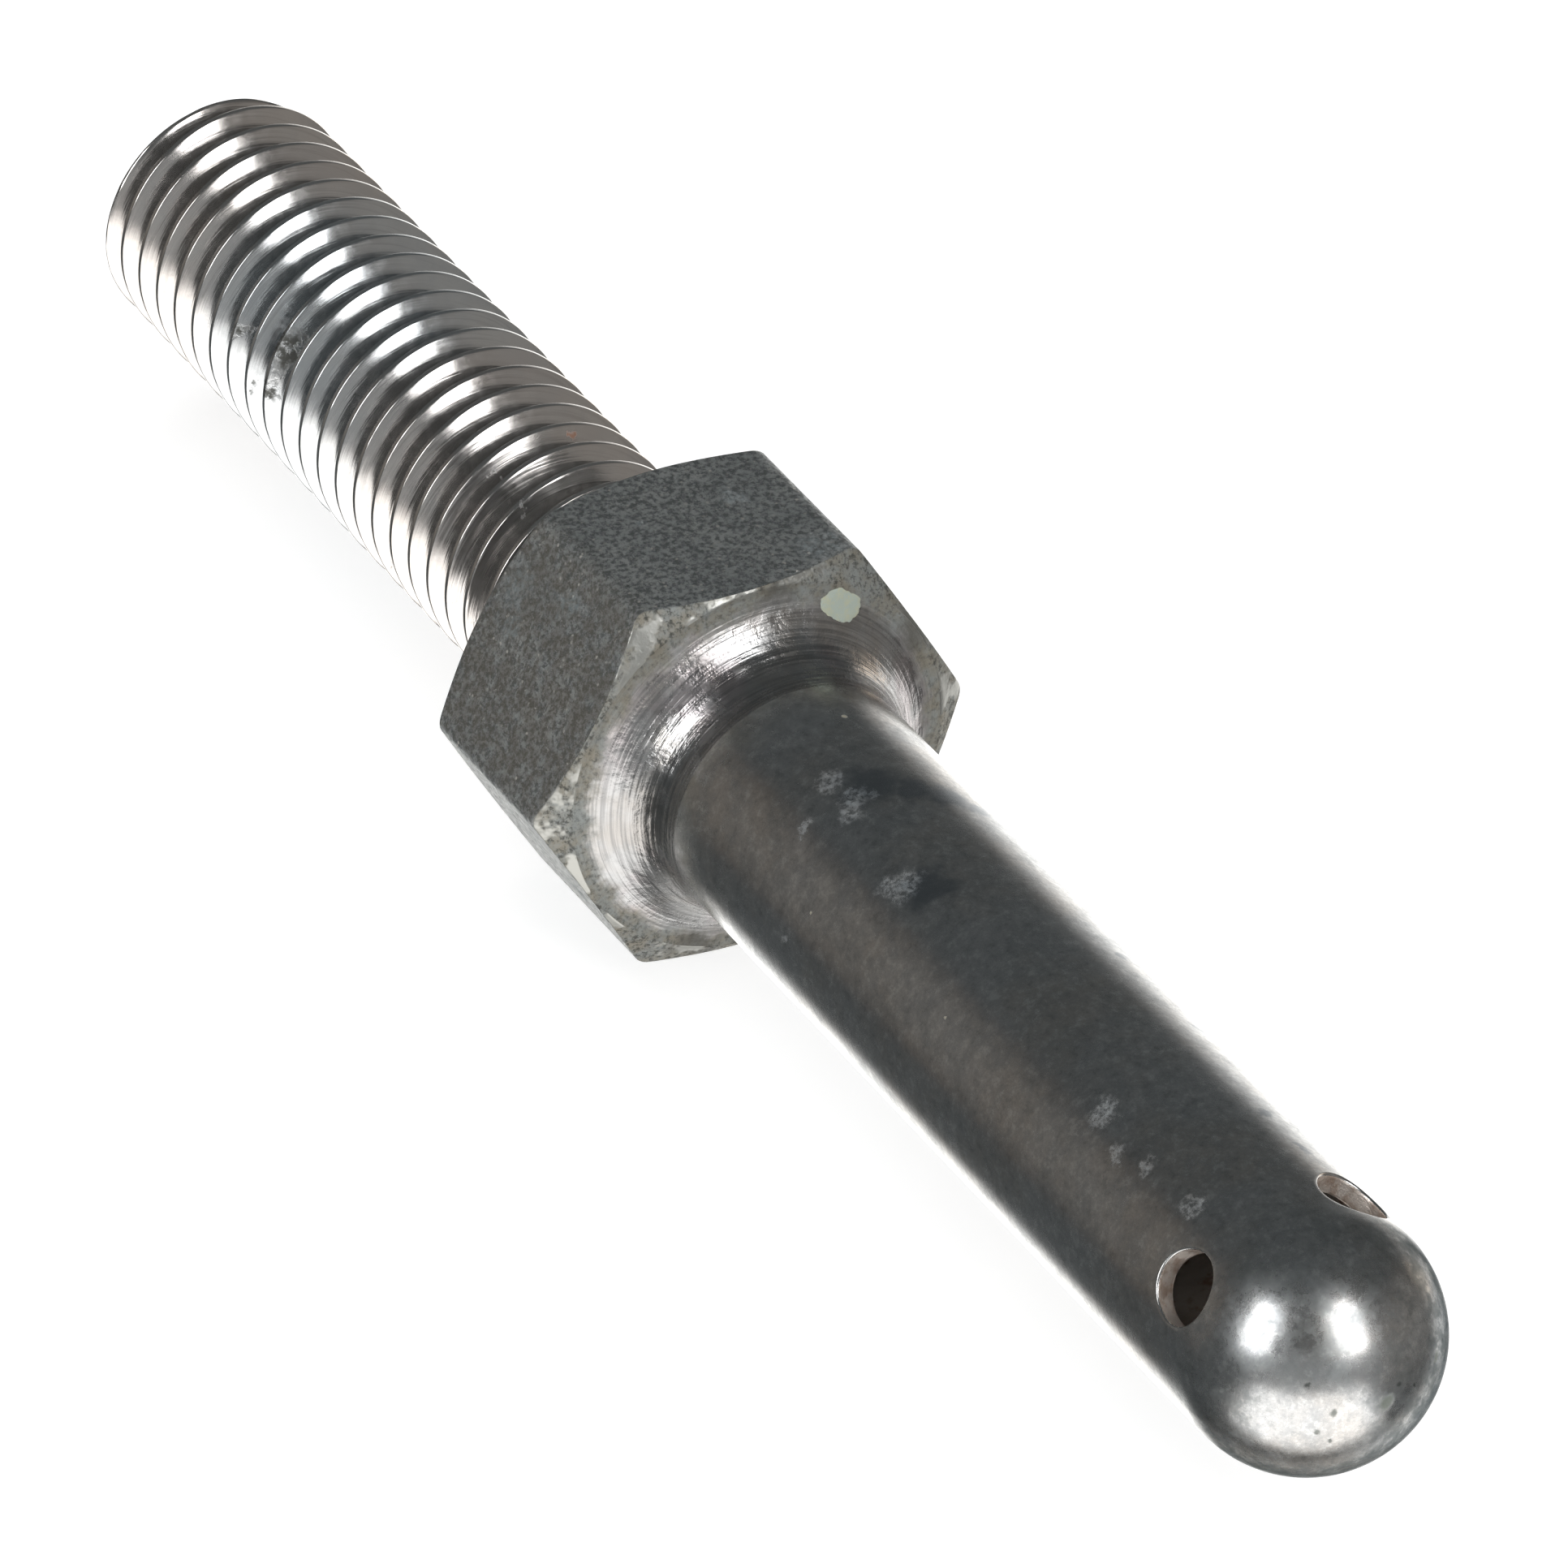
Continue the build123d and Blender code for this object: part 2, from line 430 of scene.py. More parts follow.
class Nodes(Maths):
    """A material's node tree, with short calls for the kinds of texture used here."""

    def __init__(self, name):
        self.material = bpy.data.materials.new(name)
        self.material.use_nodes = True
        super().__init__(self.material.node_tree)
        self.shader = self.tree.nodes["Principled BSDF"]
        place = self.tree.nodes.new("ShaderNodeTexCoord").outputs["Object"]
        self.place = self.vector("SCALE", place, scale=1 / METRES)
        self.along, self.across, self.up = self.split(self.place)
        self.angle = self.math("ARCTAN2", self.up, self.across)

    def radius(self):
        """Distance from the axis."""
        squares = [self.math("POWER", part, 2.0) for part in (self.across, self.up)]
        return self.math("SQRT", self.math("ADD", *squares))

    def split(self, value):
        node = self.tree.nodes.new("ShaderNodeSeparateXYZ")
        self.put(node.inputs[0], value)
        return node.outputs

    def join(self, x, y, z):
        node = self.tree.nodes.new("ShaderNodeCombineXYZ")
        for socket, value in zip(node.inputs, (x, y, z)):
            self.put(socket, value)
        return node.outputs[0]

    def noise(self, per_mm, detail=3.0, rough=0.55, where=None, colour=False, shift=0.0):
        node = self.tree.nodes.new("ShaderNodeTexNoise")
        where = self.place if where is None else where
        if shift:
            where = self.vector("ADD", where, (shift, shift * 0.7, shift * 1.3))
        self.put(node.inputs["Vector"], where)
        node.inputs["Scale"].default_value = per_mm
        node.inputs["Detail"].default_value = detail
        node.inputs["Roughness"].default_value = rough
        return node.outputs["Color"] if colour else node.outputs["Fac"]

    def cells(self, per_mm, where=None):
        node = self.tree.nodes.new("ShaderNodeTexVoronoi")
        self.put(node.inputs["Vector"], self.place if where is None else where)
        node.inputs["Scale"].default_value = per_mm
        return node.outputs["Distance"]

    def blend(self, share, a, b):
        """Mixes two colours."""
        node = self.tree.nodes.new("ShaderNodeMix")
        node.data_type = "RGBA"
        self.put(node.inputs["Factor"], share)
        for socket, value in ((node.inputs[6], a), (node.inputs[7], b)):
            self.put(socket, (*value, 1.0) if isinstance(value, tuple) else value)
        return node.outputs[2]

    def blend_value(self, share, a, b):
        """Mixes two numbers."""
        node = self.tree.nodes.new("ShaderNodeMix")
        node.data_type = "FLOAT"
        for socket, value in zip(node.inputs[:1] + node.inputs[2:4], (share, a, b)):
            self.put(socket, value)
        return node.outputs[0]

    def lines(self, per_mm, stretch=0.6, shift=0.0):
        """Fine turning lines: noise that runs round the axis and varies quickly along it."""
        swing = self.math("MULTIPLY", self.angle, stretch)
        where = self.join(self.along, self.math("COSINE", swing), self.math("SINE", swing))
        where = self.vector("MULTIPLY", where, (1.0, 0.12, 0.12))
        return self.noise(per_mm, detail=2.0, where=where, shift=shift)

    def spots(self, places, ragged=0.5, per_mm=2.2):
        """Mask of marks, each given as (x, angle in degrees, distance from axis, radius), in mm."""
        wobble = self.vector("SUBTRACT", self.noise(per_mm, 4.0, colour=True), (0.5, 0.5, 0.5))
        where = self.vector("ADD", self.place, self.vector("SCALE", wobble, scale=ragged * 2))
        mask = None
        for x, angle, reach, radius in places:
            turn = math.radians(angle)
            point = (x, reach * math.cos(turn), reach * math.sin(turn))
            away = self.vector("DISTANCE", where, point)
            spot = self.ramp(away, radius * 1.15, radius * 0.35)
            mask = spot if mask is None else self.math("MAXIMUM", mask, spot)
        return mask

    def bump(self, *layers):
        """Adds heights in mm, each (height socket, depth in mm), and gives the bent normal."""
        normal = None
        for height, depth in layers:
            node = self.tree.nodes.new("ShaderNodeBump")
            node.inputs["Distance"].default_value = depth * METRES
            self.put(node.inputs["Height"], height)
            if normal is not None:
                self.put(node.inputs["Normal"], normal)
            normal = node.outputs["Normal"]
        return normal

    def finish(self, colour, rough, normal, metal=1.0):
        self.put(self.shader.inputs["Base Color"], colour)
        self.put(self.shader.inputs["Roughness"], rough)
        self.put(self.shader.inputs["Metallic"], metal)
        self.put(self.shader.inputs["Normal"], normal)
        return self.material


# Colours of the steels, their stains and their salts, with some painted glints and painted shade
STEEL = (0.47, 0.475, 0.48)
WARM_STEEL = (0.46, 0.44, 0.42)
DARK_STEEL = (0.30, 0.315, 0.33)
SALT = (0.06, 0.078, 0.085)
HEX_SALT_COLOUR = (0.14, 0.165, 0.17)
RUST = (0.23, 0.085, 0.03)
NECK_STEEL = (0.4, 0.4, 0.4)
NECK_WARM_STEEL = (0.36, 0.345, 0.33)
GRAIN_DARK = (0.3, 0.31, 0.31)
GRAIN_PALE = (0.66, 0.66, 0.62)
FROST_PALE = (0.68, 0.69, 0.68)
FROST_DARK = (0.24, 0.25, 0.25)
STAIN_COLOUR = (0.2, 0.22, 0.24)
PIT_COLOUR = (0.1, 0.11, 0.1)
RUBBED_COLOUR = (0.18, 0.2, 0.2)
GREEN_COLOUR = (0.11, 0.125, 0.1)
CRUMB_COLOUR = (0.3, 0.28, 0.22)
HEAT_TINT = (0.42, 0.35, 0.365)
NECK_DARK = (0.24, 0.245, 0.25)
RING_DARK = (0.17, 0.17, 0.17)
CRUST_PATCH = (0.1, 0.096, 0.085)
BAR_GREY = (0.42, 0.44, 0.445)
BAR_PALE = (0.52, 0.535, 0.53)
# dark grain of the bar skin, deepened as painted shade
BAR_GRAIN_AND_SHADE = (0.17, 0.18, 0.18)
BAR_BROWN = (0.2, 0.175, 0.14)
BAR_FLECK = (0.6, 0.58, 0.54)
# pale of the painted glints on the bar skin
BAR_PAINTED_GLINT = (0.62, 0.6, 0.56)
BAR_PIT = (0.1, 0.1, 0.1)
BARE_CHAMFER = (0.33, 0.33, 0.31)
REAR_STAIN = (0.3, 0.31, 0.3)
DRILLED_BRIGHT = (0.9, 0.83, 0.77)
DRILLED_RUST = (0.62, 0.5, 0.42)
BORE_COLOUR = (0.5, 0.46, 0.42)
LINE_DARK = (0.26, 0.26, 0.26)
STRAW = (0.56, 0.5, 0.45)
THREAD_PIT_COLOUR = (0.07, 0.07, 0.06)

# Marks on the shank: x, angle round the axis, distance from it, radius
BLOOMS = (
    (20.2, 108.0, SHANK, 0.90),
    (21.9, 104.5, SHANK, 1.04),
    (22.6, 110.0, SHANK, 0.80),
    (28.2, 115.5, SHANK, 1.09),
    (27.4, 120.5, SHANK, 0.72),
    (21.4, 129.0, SHANK, 0.72),
    (23.6, 170.0, SHANK, 0.43),
    (46.4, 121.4, SHANK, 0.94),
    (48.6, 129.4, SHANK, 0.72),
    (50.4, 124.0, SHANK, 0.58),
    (53.9, 121.2, SHANK, 0.80),
    (30.5, 236.0, SHANK, 1.01),
    (41.0, 300.0, SHANK, 0.87),
    (34.0, 10.0, SHANK, 0.87),
)
DARK_STAINS = (
    (21.5, 95.0, SHANK, 1.7),
    (22.8, 80.0, SHANK, 1.3),
    (23.6, 68.0, SHANK, 1.2),
    (24.4, 58.0, SHANK, 0.8),
    (29.2, 109.0, SHANK, 1.5),
    (36.9, 55.8, SHANK, 0.5),
    (42.6, 51.5, SHANK, 0.35),
    (50.0, 64.0, SHANK, 0.4),
    (52.8, 63.0, SHANK, 0.45),
    (33.0, 250.0, SHANK, 1.4),
)

# Small pits on the ball nose, specks on the shank, a part of the nose kept clean, pale green spots
NOSE_PITS = (
    (63.76, 171.4, 2.0, 0.24),
    (63.48, -166.3, 2.66, 0.19),
    (63.6, -150.0, 2.4, 0.16),
    (63.94, 37.7, 1.39, 0.16),
    (63.78, 11.9, 1.94, 0.14),
    (62.2, -40.0, 4.3, 0.18),
    (63.1, 150.0, 3.3, 0.16),
)
CRUMB = ((16.4, 80.0, SHANK, 0.16), (24.8, 152.0, SHANK, 0.1), (35.5, 141.0, SHANK, 0.1))
CLEAN_NOSE = ((63.4, -163.0, 3.0, 3.0),)
GREEN_SPOT = ((64.0, 29.0, 0.44, 0.5), (62.9, 12.0, 3.5, 0.3))


def shank_metal():
    """Satin turned steel, mottled grey, with pale salt blooms, dark stains and turning lines, and
    painted shade on the ball nose's rim.
    """
    n = Nodes("satin_shank")
    broad = n.noise(0.16, 4, 0.6)
    mottle = n.noise(0.75, 5, 0.62, shift=7.0)
    grain = n.noise(5.0, 5, 0.75)
    lines = n.lines(7.0)
    colour = n.blend(n.ramp(broad, 0.38, 0.64), STEEL, WARM_STEEL)
    cloudy = n.math("MULTIPLY", n.ramp(mottle, 0.36, 0.66), 0.5)
    colour = n.blend(cloudy, colour, DARK_STEEL)
    colour = n.blend(n.ramp(grain, 0.42, 0.68, 0.0, 0.3), colour, GRAIN_DARK)
    colour = n.blend(n.ramp(grain, 0.46, 0.30, 0.0, 0.3), colour, GRAIN_PALE)
    frost = n.noise(1.7, 7, 0.76, shift=71.0)
    colour = n.blend(n.ramp(frost, 0.5, 0.66, 0.0, 0.5), colour, FROST_PALE)
    colour = n.blend(n.ramp(frost, 0.48, 0.34, 0.0, 0.5), colour, FROST_DARK)
    stain = n.math("MULTIPLY", n.spots(DARK_STAINS, 0.9, 1.1), 0.85)
    colour = n.blend(stain, colour, STAIN_COLOUR)
    pits = n.spots(NOSE_PITS, 0.25, 2.5)
    colour = n.blend(n.math("MULTIPLY", pits, 0.8), colour, PIT_COLOUR)
    nose = n.ramp(n.along, BALL_CENTRE - 3.0, BALL_CENTRE + 1.5)
    rubbed = n.math("MULTIPLY", nose, n.ramp(n.noise(1.1, 6, 0.68, shift=51.0), 0.44, 0.6))
    rubbed = n.math("MULTIPLY", rubbed, n.ramp(n.spots(CLEAN_NOSE, 0.5, 1.0), 0.0, 0.6, 1.0, 0.0))
    colour = n.blend(n.math("MULTIPLY", rubbed, 0.42), colour, RUBBED_COLOUR)
    cloud = n.ramp(n.noise(0.5, 5, 0.68, shift=31.0), 0.60, 0.74)
    bloom = n.math("MAXIMUM", n.spots(BLOOMS, 0.75, 1.2), n.math("MULTIPLY", cloud, 0.3))
    broken = n.ramp(n.noise(3.4, 5, 0.7, shift=3.0), 0.3, 0.74)
    bloom = n.math("MULTIPLY", bloom, n.math("MULTIPLY", broken, 0.85), clamp=True)
    dab = n.spots(GREEN_SPOT, 0.22, 1.6)
    colour = n.blend(n.math("MULTIPLY", bloom, 0.75), colour, SALT)
    colour = n.blend(n.math("MULTIPLY", dab, 0.8), colour, GREEN_COLOUR)
    rough = n.ramp(mottle, 0.3, 0.75, 0.17, 0.27)
    rough = n.math("ADD", rough, n.ramp(grain, 0.3, 0.8, -0.02, 0.06))
    rough = n.math("ADD", rough, n.math("MULTIPLY", rubbed, 0.08))
    rough = n.math("ADD", rough, n.math("MULTIPLY", nose, 0.03))
    crumb = n.spots(CRUMB, 0.1, 3.0)
    colour = n.blend(crumb, colour, CRUMB_COLOUR)
    covered = n.math("MAXIMUM", n.math("MAXIMUM", bloom, dab), crumb)
    haze = n.math("MULTIPLY", n.ramp(n.noise(0.9, 8, 0.78, shift=61.0), 0.42, 0.68), 0.1)
    covered = n.math("MAXIMUM", covered, haze)
    rough = n.math("ADD", rough, n.math("MULTIPLY", covered, 0.3))
    metal = n.ramp(covered, 0.0, 1.0, 1.0, 0.4)
    # painted shade: over the ball nose the specular tint goes nearly black, so the reflections at
    # its rim come out dark
    edge = n.ramp(n.along, BALL_CENTRE - 0.4, BALL_CENTRE + 1.6)
    n.put(n.shader.inputs["Specular Tint"], n.blend(edge, (1.0, 1.0, 1.0), (0.1, 0.11, 0.115)))
    normal = n.bump((lines, 0.0022), (grain, 0.0016), (n.math("SUBTRACT", mottle, pits), 0.002))
    return n.finish(colour, rough, normal, metal)


# Crust on the front of the hexagon
CRUST_PALE = (0.2, 0.212, 0.205)
CRUST_WARM = (0.215, 0.2, 0.165)
CRUST_DARK = (0.055, 0.055, 0.05)
FRONT_PATCHES = ((10.6, 84.0, 8.5, 1.1), (10.4, 30.0, 9.0, 1.2), (10.5, 250.0, 8.8, 1.4))


def neck_metal():
    """Turned neck with clear tool rings, patches of heat tint, painted shade darkening it where it
    runs into the shank, and crust at its outer edge.
    """
    n = Nodes("turned_neck")
    radius = n.radius()
    slant = n.math("SUBTRACT", n.along, n.math("MULTIPLY", radius, 0.9))
    uneven = n.noise(1.1, 4, 0.6, shift=11.0)
    where = n.join(slant, n.math("COSINE", n.angle), n.math("SINE", n.angle))
    where = n.vector("MULTIPLY", where, (1.0, 0.22, 0.22))
    coarse = n.noise(3.2, 1, 0.5, where=where)
    fine = n.noise(7.5, 2, 0.6, where=where, shift=4.0)
    warmth = n.ramp(n.noise(0.45, 4, shift=2.0), 0.4, 0.65)
    colour = n.blend(warmth, NECK_STEEL, NECK_WARM_STEEL)
    tint = n.ramp(n.noise(0.3, 3, shift=21.0), 0.46, 0.66, 0.0, 0.4)
    colour = n.blend(tint, colour, HEAT_TINT)
    dark = n.ramp(n.noise(0.9, 5, 0.65, shift=15.0), 0.52, 0.75, 0.0, 0.4)
    # painted shade: the neck darkens towards the shank, in the hollow where the two meet
    foot_shade = n.ramp(n.along, NECK_END - 1.6, NECK_END - 0.5, 0.0, 0.35)
    colour = n.blend(n.math("MAXIMUM", dark, foot_shade), colour, NECK_DARK)
    colour = n.blend(n.ramp(fine, 0.42, 0.66, 0.0, 0.55), colour, RING_DARK)
    ragged = n.math("MULTIPLY", n.math("SUBTRACT", n.noise(0.9, 5, 0.65, shift=33.0), 0.5), 1.8)
    crust = n.ramp(n.math("ADD", radius, ragged), 8.0, 8.8)
    fleck = n.noise(4.0, 5, 0.75, shift=6.0)
    cake = n.noise(0.8, 6, 0.7, shift=1.5)
    cake_colour = n.blend(n.ramp(cake, 0.35, 0.65), CRUST_PALE, CRUST_WARM)
    cake_colour = n.blend(n.ramp(fleck, 0.46, 0.7, 0.0, 0.75), cake_colour, CRUST_DARK)
    patch = n.math("MULTIPLY", n.spots(FRONT_PATCHES, 0.9, 1.0), 0.85)
    cake_colour = n.blend(patch, cake_colour, CRUST_PATCH)
    colour = n.blend(crust, colour, cake_colour)
    rough = n.ramp(uneven, 0.3, 0.75, 0.2, 0.32)
    rough = n.blend_value(crust, rough, n.ramp(fleck, 0.3, 0.7, 0.5, 0.7))
    metal = n.blend_value(crust, 1.0, n.ramp(cake, 0.3, 0.7, 0.45, 0.75))
    depth = n.ramp(uneven, 0.3, 0.7, 0.5, 1.0)
    rings = n.math("MULTIPLY", n.math("ADD", coarse, n.math("MULTIPLY", fine, 0.5)), depth)
    normal = n.bump((rings, 0.045), (fleck, 0.004))
    return n.finish(colour, rough, normal, metal)


# Salt blooms on the hexagon's sides
HEX_SALT = (
    (1.6, 138.0, 10.2, 1.5),
    (2.4, 148.0, 9.6, 1.0),
    (5.2, 131.0, 9.9, 0.9),
    (3.7, 75.0, 9.7, 0.9),
    (8.8, 66.6, 10.2, 1.3),
    (3.5, 101.6, 9.6, 0.5),
    (7.5, 220.0, 9.6, 1.2),
    (2.0, 20.0, 9.8, 1.3),
    (6.0, 285.0, 9.6, 1.1),
)


def hexagon_skin():
    """Raw skin of the drawn bar: dark, dull and granular, with pale salt in the corners, painted
    glints on its granules and painted shade deepening the dark ones.
    """
    n = Nodes("bar_skin")
    granule = n.noise(3.6, 6, 0.8)
    patch = n.noise(0.35, 5, 0.6, shift=9.0)
    side = n.ramp(n.math("ABSOLUTE", n.math("SUBTRACT", n.angle, math.radians(150))), 0.62, 0.42)
    colour = n.blend(n.ramp(patch, 0.35, 0.68), BAR_GREY, BAR_PALE)
    # dark granules: the bar's grain, darkened further as painted shade between the painted glints
    colour = n.blend(n.ramp(granule, 0.42, 0.58, 0.0, 0.95), colour, BAR_GRAIN_AND_SHADE)
    brown = n.math("MULTIPLY", side, n.ramp(n.noise(1.2, 5, 0.7, shift=4.0), 0.3, 0.6))
    colour = n.blend(n.math("MULTIPLY", brown, 0.55), colour, BAR_BROWN)
    fleck = n.ramp(n.noise(3.4, 5, 0.8, shift=17.0), 0.56, 0.70)
    colour = n.blend(n.math("MULTIPLY", fleck, 0.6), colour, BAR_FLECK)
    # painted glints: pale specks in the colour where the granules would catch the lamps
    painted_glint = n.ramp(n.cells(2.4), 0.26, 0.1)
    gathered = n.ramp(n.noise(1.9, 5, 0.75, shift=43.0), 0.47, 0.6)
    painted_glint = n.math("MULTIPLY", painted_glint, gathered, clamp=True)
    colour = n.blend(painted_glint, colour, BAR_PAINTED_GLINT)
    # less metal where the pale flecks of dust and the painted glints are
    dust_and_glint = n.math("ADD", n.math("MULTIPLY", fleck, 0.05), n.math("MULTIPLY", painted_glint, 0.2))
    pit = n.ramp(n.noise(2.6, 4, 0.7, shift=27.0), 0.36, 0.26)
    colour = n.blend(n.math("MULTIPLY", pit, 0.6), colour, BAR_PIT)
    salt = n.spots(HEX_SALT, 1.2, 1.0)
    salt = n.math("MULTIPLY", salt, n.ramp(n.noise(2.8, 6, 0.8, shift=13.0), 0.4, 0.6), clamp=True)
    colour = n.blend(n.math("MULTIPLY", salt, 0.8), colour, HEX_SALT_COLOUR)
    rough = n.math("ADD", n.ramp(granule, 0.3, 0.7, 0.40, 0.58), n.math("MULTIPLY", salt, 0.25))
    normal = n.bump((granule, 0.09), (patch, 0.03))
    metal = n.math("SUBTRACT", n.ramp(salt, 0.0, 1.0, 1.0, 0.55), dust_and_glint)
    return n.finish(colour, rough, normal, metal)


def chamfer_metal():
    """Turned chamfer under grey and beige corrosion, with worn bare patches."""
    n = Nodes("stained_chamfer")
    crust = n.noise(0.8, 6, 0.7, shift=1.5)
    fine = n.noise(4.0, 5, 0.75, shift=6.0)
    bare = n.ramp(n.noise(0.42, 4, 0.6, shift=12.0), 0.5, 0.58)
    colour = n.blend(n.ramp(crust, 0.35, 0.65), CRUST_PALE, CRUST_WARM)
    colour = n.blend(n.ramp(fine, 0.46, 0.62, 0.0, 0.85), colour, CRUST_DARK)
    patch = n.math("MULTIPLY", n.spots(FRONT_PATCHES, 0.9, 1.0), 0.85)
    colour = n.blend(patch, colour, CRUST_PATCH)
    colour = n.blend(bare, colour, BARE_CHAMFER)
    rough = n.blend_value(bare, n.ramp(fine, 0.3, 0.7, 0.5, 0.75), 0.34)
    metal = n.blend_value(bare, n.ramp(crust, 0.3, 0.7, 0.45, 0.75), 1.0)
    normal = n.bump((n.blend_value(bare, fine, 0.3), 0.03), (crust, 0.03))
    return n.finish(colour, rough, normal, metal)


def rear_metal():
    """Turned rear face and chamfer of the hexagon."""
    n = Nodes("turned_rear_face")
    rings = n.math("SINE", n.math("MULTIPLY", n.radius(), 52.0))
    stain = n.noise(0.6, 5, 0.65, shift=19.0)
    colour = n.blend(n.ramp(stain, 0.4, 0.65), STEEL, REAR_STAIN)
    salt = n.ramp(n.noise(1.0, 5, 0.7, shift=23.0), 0.6, 0.72, 0.0, 0.7)
    colour = n.blend(salt, colour, SALT)
    rough = n.ramp(stain, 0.3, 0.7, 0.26, 0.5)
    normal = n.bump((rings, 0.004), (n.noise(5.0, 4, 0.7), 0.008))
    return n.finish(colour, rough, normal, n.ramp(salt, 0.0, 0.7, 1.0, 0.4))


def drilled_metal():
    """Bright drilled wall of the ports, scored by the drill, lightly rusted."""
    n = Nodes("drilled_wall")
    score = n.noise(9.0, 3, 0.6)
    warm = n.noise(1.4, 4, 0.6, shift=8.0)
    colour = n.blend(n.ramp(warm, 0.4, 0.65), DRILLED_BRIGHT, DRILLED_RUST)
    normal = n.bump((score, 0.02))
    return n.finish(colour, n.ramp(score, 0.3, 0.7, 0.3, 0.45), normal, 0.88)


def bore_metal():
    """Inside of the bore, dull and dark with oil and a little rust."""
    n = Nodes("oily_bore")
    rust = n.ramp(n.noise(0.8, 5, 0.7, shift=14.0), 0.5, 0.7)
    colour = n.blend(n.math("MULTIPLY", rust, 0.7), BORE_COLOUR, RUST)
    lines = n.lines(5.0)
    rough = n.ramp(rust, 0.0, 1.0, 0.4, 0.7)
    metal = n.ramp(rust, 0.0, 1.0, 0.35, 0.15)
    return n.finish(colour, rough, n.bump((lines, 0.02)), metal)


# Dark pits and rust on the thread
THREAD_PITS = (
    (-25.1, 143.5, 5.5, 0.88),
    (-24.8, 150.8, 5.5, 0.96),
    (-25.1, 170.0, 5.6, 0.64),
    (-28.6, 158.2, 5.5, 0.56),
    (-26.8, 179.0, 5.6, 0.40),
    (-16.9, 193.7, 5.7, 0.40),
    (-13.6, 203.8, 5.7, 0.48),
    (-30.0, 20.0, 5.6, 0.80),
    (-20.0, 290.0, 5.6, 0.96),
)
THREAD_RUST = ((-9.4, 74.0, 5.6, 0.32), (-8.8, 70.0, 5.8, 0.25), (-33.0, 310.0, 5.7, 0.4))
THREAD_SALT = (
    (-6.0, 118.7, 5.7, 0.5),
    (-9.2, 116.9, 5.6, 0.4),
    (-2.4, 112.0, 5.8, 0.7),
    (-1.6, 140.0, 5.8, 0.8),
    (-3.0, 300.0, 5.8, 0.9),
)


def thread_metal():
    """Bright rolled thread: fine lines round it, grey film, pits, and specks of rust and salt."""
    n = Nodes("bright_thread")
    lines = n.lines(13.0, stretch=0.5)
    film = n.noise(0.3, 5, 0.6, shift=2.5)
    mottle = n.noise(1.5, 5, 0.7, shift=18.0)
    colour = n.blend(n.ramp(film, 0.38, 0.62), (0.6, 0.6, 0.59), (0.47, 0.475, 0.48))
    colour = n.blend(n.ramp(mottle, 0.5, 0.78, 0.0, 0.35), colour, DARK_STEEL)
    colour = n.blend(n.ramp(lines, 0.48, 0.7, 0.0, 0.6), colour, LINE_DARK)
    straw = n.ramp(n.noise(0.22, 3, shift=40.0), 0.45, 0.68, 0.0, 0.4)
    colour = n.blend(straw, colour, STRAW)
    cool = n.math("MULTIPLY", n.ramp(n.along, -34.0, -29.0), n.ramp(n.along, -15.0, -21.0))
    warm_tint = n.blend(n.noise(0.5, 3, shift=45.0), (0.64, 0.575, 0.54), (0.55, 0.53, 0.51))
    cool_tint = n.blend(n.noise(0.5, 3, shift=47.0), (0.54, 0.585, 0.62), (0.55, 0.555, 0.56))
    colour = n.blend(0.6, colour, n.blend(cool, warm_tint, cool_tint))
    pits = n.spots(THREAD_PITS, 0.9, 1.9)
    pits = n.math("MULTIPLY", pits, n.ramp(n.noise(2.4, 4, 0.7, shift=22.0), 0.34, 0.5), clamp=True)
    colour = n.blend(n.math("MULTIPLY", pits, 0.9), colour, THREAD_PIT_COLOUR)
    rust = n.spots(THREAD_RUST, 0.6, 2.0)
    colour = n.blend(n.math("MULTIPLY", rust, 0.8), colour, RUST)
    salt = n.spots(THREAD_SALT, 0.9, 1.6)
    broken = n.ramp(n.noise(2.8, 5, 0.75, shift=29.0), 0.45, 0.62)
    salt = n.math("MULTIPLY", salt, broken, clamp=True)
    colour = n.blend(n.math("MULTIPLY", salt, 0.8), colour, SALT)
    spoiled = n.math("MAXIMUM", n.math("MAXIMUM", pits, rust), salt)
    rough = n.math("ADD", n.ramp(mottle, 0.35, 0.75, 0.15, 0.24), n.math("MULTIPLY", spoiled, 0.35))
    depth = n.math("SUBTRACT", lines, n.math("MULTIPLY", pits, 1.5))
    normal = n.bump((depth, 0.009), (mottle, 0.0015))
    metal = n.ramp(n.math("MAXIMUM", rust, salt), 0.0, 1.0, 1.0, 0.5)
    return n.finish(colour, rough, normal, metal)


def paint_dab_material():
    """Dried pale green dab."""
    n = Nodes("pale_dab")
    crust = n.noise(2.2, 5, 0.7)
    colour = n.blend(n.ramp(crust, 0.4, 0.65), (0.28, 0.32, 0.28), (0.33, 0.335, 0.24))
    return n.finish(colour, n.ramp(crust, 0.3, 0.7, 0.55, 0.7), n.bump((crust, 0.03)), 0.0)


# ------------------------------------------------------------------ the object
# The dab: place round the axis, distance from it, half sizes, height and how far its edge sinks
DAB_ANGLE = 60.5
DAB_RADIUS = 8.35
DAB_LENGTH = 1.2
DAB_WIDTH = 0.76
DAB_HEIGHT = 0.07
DAB_SINK = 0.03


